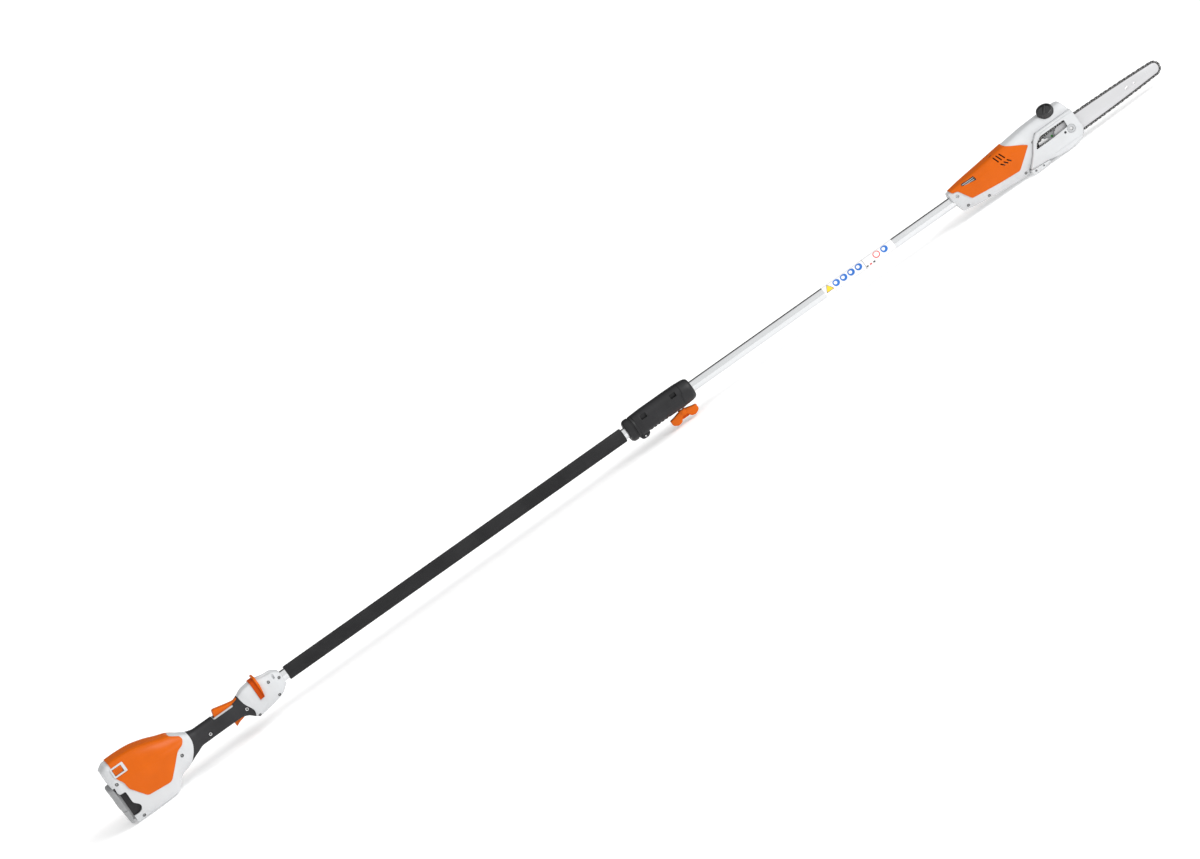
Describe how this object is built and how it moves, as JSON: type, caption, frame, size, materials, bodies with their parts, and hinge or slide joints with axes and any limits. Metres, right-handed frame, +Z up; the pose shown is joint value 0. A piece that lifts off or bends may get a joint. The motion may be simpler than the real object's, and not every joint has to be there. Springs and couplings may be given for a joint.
{
  "type": "battery pole saw",
  "caption": "Battery pole saw: a rear grip with a slide-out battery, a divided aluminium pole with a clamping coupling, and a small chain saw head.",
  "frame": {"origin": "on the floor, under the middle of the bounding box, with the saw lying on its rear foot and the sole of its head", "axes": "+X along the pole towards the saw, +Z up, so the oil cap and the lock-out lever are on top; the guide bar is on the -Y side"},
  "size_m": [2.8004, 0.104, 0.1478],
  "materials": {
    "orange_plastic": "orange moulded plastic, satin",
    "white_plastic": "off-white moulded plastic, fine grain",
    "battery_grey": "mid grey moulded plastic, fine grain",
    "black_plastic": "black glass-filled plastic",
    "hose_rubber": "black ribbed rubber hose",
    "pole_aluminium": "bright drawn aluminium",
    "bare_steel": "ground steel",
    "chain_steel": "dark oiled chain steel",
    "contact_brass": "bright brass contacts",
    "winding_copper": "enamelled copper windings on a steel core",
    "board_green": "green circuit board"
  },
  "bodies": {
    "handle": {"rear_housing_right": "white_plastic", "rear_housing_left": "white_plastic", "side_cover_right": "orange_plastic", "side_cover_left": "orange_plastic", "battery_bay": "black_plastic", "contact_block": "contact_brass", "control_board": "board_green", "grip_right": "black_plastic", "grip_left": "black_plastic", "lever_frame": "white_plastic", "lever_pin": "bare_steel", "trigger_pin": "bare_steel", "trigger_switch": "black_plastic", "control_housing_right": "white_plastic", "control_housing_left": "white_plastic", "lower_tube": "pole_aluminium", "handle_hose": "hose_rubber", "lower_cable": "black_plastic", "socket_connector": "black_plastic", "clamp_sleeve": "pole_aluminium", "rear_collar": "black_plastic", "front_collar": "black_plastic", "coupling_shell_right": "black_plastic", "coupling_shell_left": "black_plastic"},
    "battery": {"battery_pack": "battery_grey"},
    "right_latch": {"battery_latch_right": "orange_plastic"},
    "left_latch": {"battery_latch_left": "orange_plastic"},
    "lever": {"lockout_lever": "orange_plastic"},
    "trigger": {"trigger": "orange_plastic"},
    "retaining_latch": {"retaining_latch": "orange_plastic"},
    "lock_button": {"lock_button": "black_plastic"},
    "wing_screw": {"wing_screw": "orange_plastic"},
    "saw_head": {"upper_tube": "pole_aluminium", "plug_connector": "black_plastic", "upper_cable": "black_plastic", "head_housing_right": "white_plastic", "head_housing_left": "white_plastic", "motor_cover_right": "orange_plastic", "motor_cover_left": "orange_plastic", "motor_stator": "winding_copper", "motor_bearing": "bare_steel", "sprocket_bearing": "bare_steel", "oil_tank": "white_plastic", "branch_hook": "white_plastic", "bar_stud": "bare_steel"},
    "motor": {"motor_rotor": "bare_steel", "motor_shaft": "bare_steel", "bevel_pinion": "bare_steel"},
    "drive": {"sprocket_shaft": "bare_steel", "gear_wheel": "bare_steel", "drive_sprocket": "bare_steel"},
    "oil_cap": {"oil_cap": "black_plastic"},
    "bar": {"guide_bar": "bare_steel", "saw_chain": "chain_steel"},
    "nose_sprocket": {"nose_sprocket": "bare_steel"},
    "cover": {"sprocket_cover": "white_plastic"},
    "nut": {"cover_nut": "bare_steel"},
    "tension_screw": {"tension_screw": "bare_steel"}
  },
  "joints": [
    {"name": "battery_slide", "type": "slide", "parent": "handle", "child": "battery", "axis": [-0.9999, 0, 0.0103], "range_m": [0, 0.115]},
    {"name": "right_latch_press", "type": "slide", "parent": "handle", "child": "right_latch", "axis": [0, 1, 0], "range_m": [0, 0.003], "stiffness_N_per_m": 800, "springref_m": -0.0005},
    {"name": "left_latch_press", "type": "slide", "parent": "handle", "child": "left_latch", "axis": [0, -1, 0], "range_m": [0, 0.003], "stiffness_N_per_m": 800, "springref_m": -0.0005},
    {"name": "lever_press", "type": "hinge", "parent": "handle", "child": "lever", "pos_m": [-1.06847, 0, 0.0812], "axis": [0, -1, 0], "range_deg": [0, 8], "stiffness_Nm_per_rad": 0.4, "springref_deg": -5.73},
    {"name": "trigger_pull", "type": "hinge", "parent": "handle", "child": "trigger", "pos_m": [-1.06167, 0, 0.06213], "axis": [0, 1, 0], "range_deg": [0, 10], "stiffness_Nm_per_rad": 0.4, "springref_deg": -5.73},
    {"name": "retaining_latch_slide", "type": "slide", "parent": "handle", "child": "retaining_latch", "axis": [-0.9999, 0, 0.0103], "range_m": [0, 0.006], "stiffness_N_per_m": 500, "springref_m": -0.001},
    {"name": "lock_button_press", "type": "slide", "parent": "handle", "child": "lock_button", "axis": [0.0103, 0, 0.9999], "range_m": [0, 0.003], "stiffness_N_per_m": 800, "springref_m": -0.0005},
    {"name": "wing_screw_turn", "type": "hinge", "parent": "handle", "child": "wing_screw", "pos_m": [0.10056, 0, 0.03013], "axis": [0.0103, 0, 0.9999], "range_deg": [0, 350]},
    {"name": "pole_pull", "type": "slide", "parent": "handle", "child": "saw_head", "axis": [0.9999, 0, -0.0103], "range_m": [0, 0.11]},
    {"name": "motor_spin", "type": "hinge", "parent": "saw_head", "child": "motor", "pos_m": [0.95023, 0, 0.04236], "axis": [0.9999, 0, -0.0103], "continuous": true},
    {"name": "sprocket_spin", "type": "hinge", "parent": "saw_head", "child": "drive", "pos_m": [1.08823, -0.0265, 0.04093], "axis": [0, 1, 0], "continuous": true},
    {"name": "oil_cap_turn", "type": "hinge", "parent": "saw_head", "child": "oil_cap", "pos_m": [1.13079, -0.012, 0.09549], "axis": [0.0091, -0.4695, 0.8829], "range_deg": [0, 350]},
    {"name": "bar_tension", "type": "slide", "parent": "saw_head", "child": "bar", "axis": [-0.9999, 0, 0.0103], "range_m": [0, 0.002]},
    {"name": "tension_screw_turn", "type": "hinge", "parent": "saw_head", "child": "tension_screw", "pos_m": [1.13922, -0.02, 0.04041], "axis": [0, -1, 0], "range_deg": [0, 270]},
    {"name": "nose_spin", "type": "hinge", "parent": "bar", "child": "nose_sprocket", "pos_m": [1.38241, -0.0265, 0.03789], "axis": [0, 1, 0], "continuous": true},
    {"name": "cover_lift", "type": "slide", "parent": "saw_head", "child": "cover", "axis": [0, -1, 0], "range_m": [0, 0.03]},
    {"name": "nut_turn", "type": "hinge", "parent": "cover", "child": "nut", "pos_m": [1.15522, -0.04, 0.04024], "axis": [0, -1, 0], "range_deg": [0, 350]}
  ],
  "couplings": [
    {"joint": "sprocket_spin", "follows": "motor_spin", "ratio": 0.45},
    {"joint": "nose_spin", "follows": "motor_spin", "ratio": 0.4},
    {"joint": "tension_screw_turn", "follows": "bar_tension", "rad_per_m": 2350}
  ]
}
